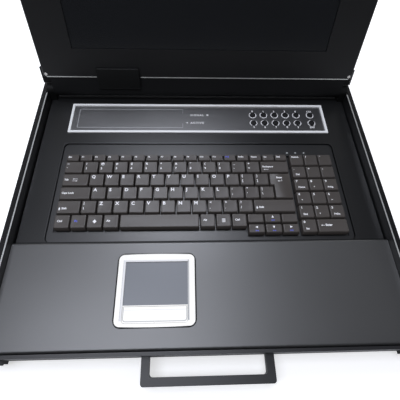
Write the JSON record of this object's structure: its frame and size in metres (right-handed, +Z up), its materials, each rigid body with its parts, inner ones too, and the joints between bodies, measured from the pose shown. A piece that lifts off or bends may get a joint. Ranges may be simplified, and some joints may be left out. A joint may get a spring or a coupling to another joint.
{
  "type": "rackmount lcd console drawer",
  "caption": "One-unit rack drawer on telescopic slides with a hinged flat screen, a compact keyboard with number pad, a touchpad and a port switch panel with numbered buttons.",
  "frame": {"origin": "middle of the four slots in the rack ears, on the plane where the ears meet the rack posts", "axes": "+X to the right seen from the front, +Y from the front of the rack towards its back, +Z up"},
  "size_m": [0.4826, 0.591, 0.3573],
  "materials": {
    "rail_zinc": "zinc plated, satin",
    "rail_black": "black powder coat, fine texture",
    "tray_black": "black powder coat, satin",
    "panel_black": "black powder coat",
    "handle_black": "satin black",
    "palm_grey": "satin metallic grey",
    "case_black": "fine matt grain",
    "key_grey": "fine matt grain",
    "board_green": "solder resist",
    "rubber_clear": "translucent silicone",
    "lamp": "clear lens",
    "touch_silver": "satin silver",
    "touch_grey": "matt",
    "frame_silver": "satin anodised",
    "face_black": "fine matt",
    "button_black": "fine matt",
    "hinge_black": "black, satin",
    "pin_steel": "ground",
    "lid_black": "fine spark texture",
    "lid_aluminium": "black anodised",
    "screen_glass": "anti-glare",
    "module": "pressed sheet",
    "screw_steel": "nickel plated",
    "rubber_black": "matt",
    "box_steel": "black powder coat",
    "socket": "moulded"
  },
  "bodies": {
    "rack_rails": {"outer_rail_right": "rail_black", "outer_rail_left": "rail_black", "rack_ear_right": "panel_black", "rack_ear_left": "panel_black", "rear_bracket_right": "rail_zinc", "rear_bracket_left": "rail_zinc", "rail_screws": "screw_steel"},
    "slide_middle": {"middle_rails": "rail_zinc", "ball_cages": "pin_steel"},
    "drawer": {"inner_rails": "rail_zinc", "tray": "tray_black", "front_panel": "panel_black", "front_handle": "handle_black", "deck_plate": "tray_black", "palm_rest": "palm_grey", "keyboard_case": "case_black", "keyboard_base": "case_black", "key_plate": "case_black", "keyboard_circuit": "board_green", "rubber_dome_sheet": "rubber_clear", "keyboard_lamps": "lamp", "touchpad_bezel": "touch_silver", "touch_surface": "touch_grey", "touchpad_circuit": "board_green", "switch_frame": "frame_silver", "switch_face": "face_black", "switch_board": "board_green", "hinge_knuckles": "hinge_black", "switch_box": "box_steel", "switch_box_lid": "box_steel", "switch_circuit": "board_green", "board_posts": "screw_steel", "computer_sockets": "socket", "mains_inlet": "socket"},
    "lid": {"screen_bezel": "lid_black", "lid_cover": "lid_aluminium", "screen_glass": "screen_glass", "display_module": "module", "display_boards": "board_green", "cable_cover": "lid_black", "lid_screws": "screw_steel", "lid_bumpers": "rubber_black", "hinge_pins": "pin_steel"},
    "enter_key": {"enter_key": "key_grey"},
    "keys_arrow": {"keys_arrow": "key_grey"},
    "keys_bottom": {"keys_bottom": "key_grey"},
    "keys_function": {"keys_function": "key_grey"},
    "keys_home": {"keys_home": "key_grey"},
    "keys_lower": {"keys_lower": "key_grey"},
    "keys_number": {"keys_number": "key_grey"},
    "keys_numpad": {"keys_numpad": "key_grey"},
    "keys_upper": {"keys_upper": "key_grey"},
    "latch_left": {"latch_left": "button_black"},
    "latch_right": {"latch_right": "button_black"},
    "port_buttons_lower": {"port_buttons_lower": "button_black"},
    "port_buttons_upper": {"port_buttons_upper": "button_black"},
    "screen_controls": {"screen_controls": "button_black"},
    "space_bar": {"space_bar": "key_grey"},
    "touchpad_button_left": {"touchpad_button_left": "touch_silver"},
    "touchpad_button_right": {"touchpad_button_right": "touch_silver"}
  },
  "joints": [
    {"name": "drawer_slide", "type": "slide", "parent": "rack_rails", "child": "drawer", "axis": [0, -1, 0], "range_m": [0, 0.38]},
    {"name": "middle_slide", "type": "slide", "parent": "rack_rails", "child": "slide_middle", "axis": [0, -1, 0], "range_m": [0, 0.19]},
    {"name": "lid_hinge", "type": "hinge", "parent": "drawer", "child": "lid", "pos_m": [0, 0.347, 0.013], "axis": [-1, 0, 0], "range_deg": [-108.7, 11.3]},
    {"name": "enter_key_press", "type": "slide", "parent": "drawer", "child": "enter_key", "axis": [0, 0, -1], "range_m": [0, 0.0022], "stiffness_N_per_m": 500, "springref_m": -0.002},
    {"name": "keys_arrow_press", "type": "slide", "parent": "drawer", "child": "keys_arrow", "axis": [0, 0, -1], "range_m": [0, 0.0022], "stiffness_N_per_m": 500, "springref_m": -0.002},
    {"name": "keys_bottom_press", "type": "slide", "parent": "drawer", "child": "keys_bottom", "axis": [0, 0, -1], "range_m": [0, 0.0022], "stiffness_N_per_m": 500, "springref_m": -0.002},
    {"name": "keys_function_press", "type": "slide", "parent": "drawer", "child": "keys_function", "axis": [0, 0, -1], "range_m": [0, 0.0022], "stiffness_N_per_m": 500, "springref_m": -0.002},
    {"name": "keys_home_press", "type": "slide", "parent": "drawer", "child": "keys_home", "axis": [0, 0, -1], "range_m": [0, 0.0022], "stiffness_N_per_m": 500, "springref_m": -0.002},
    {"name": "keys_lower_press", "type": "slide", "parent": "drawer", "child": "keys_lower", "axis": [0, 0, -1], "range_m": [0, 0.0022], "stiffness_N_per_m": 500, "springref_m": -0.002},
    {"name": "keys_number_press", "type": "slide", "parent": "drawer", "child": "keys_number", "axis": [0, 0, -1], "range_m": [0, 0.0022], "stiffness_N_per_m": 500, "springref_m": -0.002},
    {"name": "keys_numpad_press", "type": "slide", "parent": "drawer", "child": "keys_numpad", "axis": [0, 0, -1], "range_m": [0, 0.0022], "stiffness_N_per_m": 500, "springref_m": -0.002},
    {"name": "keys_upper_press", "type": "slide", "parent": "drawer", "child": "keys_upper", "axis": [0, 0, -1], "range_m": [0, 0.0022], "stiffness_N_per_m": 500, "springref_m": -0.002},
    {"name": "latch_left_slide", "type": "slide", "parent": "drawer", "child": "latch_left", "axis": [1, 0, 0], "range_m": [0, 0.004], "stiffness_N_per_m": 500, "springref_m": -0.002},
    {"name": "latch_right_slide", "type": "slide", "parent": "drawer", "child": "latch_right", "axis": [-1, 0, 0], "range_m": [0, 0.004], "stiffness_N_per_m": 500, "springref_m": -0.002},
    {"name": "port_buttons_lower_press", "type": "slide", "parent": "drawer", "child": "port_buttons_lower", "axis": [0, 0, -1], "range_m": [0, 0.001], "stiffness_N_per_m": 500, "springref_m": -0.002},
    {"name": "port_buttons_upper_press", "type": "slide", "parent": "drawer", "child": "port_buttons_upper", "axis": [0, 0, -1], "range_m": [0, 0.001], "stiffness_N_per_m": 500, "springref_m": -0.002},
    {"name": "screen_controls_press", "type": "slide", "parent": "lid", "child": "screen_controls", "axis": [0, 0.9472, -0.3206], "range_m": [0, 0.0008], "stiffness_N_per_m": 500, "springref_m": -0.002},
    {"name": "space_bar_press", "type": "slide", "parent": "drawer", "child": "space_bar", "axis": [0, 0, -1], "range_m": [0, 0.0022], "stiffness_N_per_m": 500, "springref_m": -0.002},
    {"name": "touchpad_button_left_press", "type": "slide", "parent": "drawer", "child": "touchpad_button_left", "axis": [0, 0, -1], "range_m": [0, 0.0008], "stiffness_N_per_m": 500, "springref_m": -0.002},
    {"name": "touchpad_button_right_press", "type": "slide", "parent": "drawer", "child": "touchpad_button_right", "axis": [0, 0, -1], "range_m": [0, 0.0008], "stiffness_N_per_m": 500, "springref_m": -0.002}
  ],
  "couplings": [
    {"joint": "middle_slide", "follows": "drawer_slide", "ratio": 0.5}
  ]
}
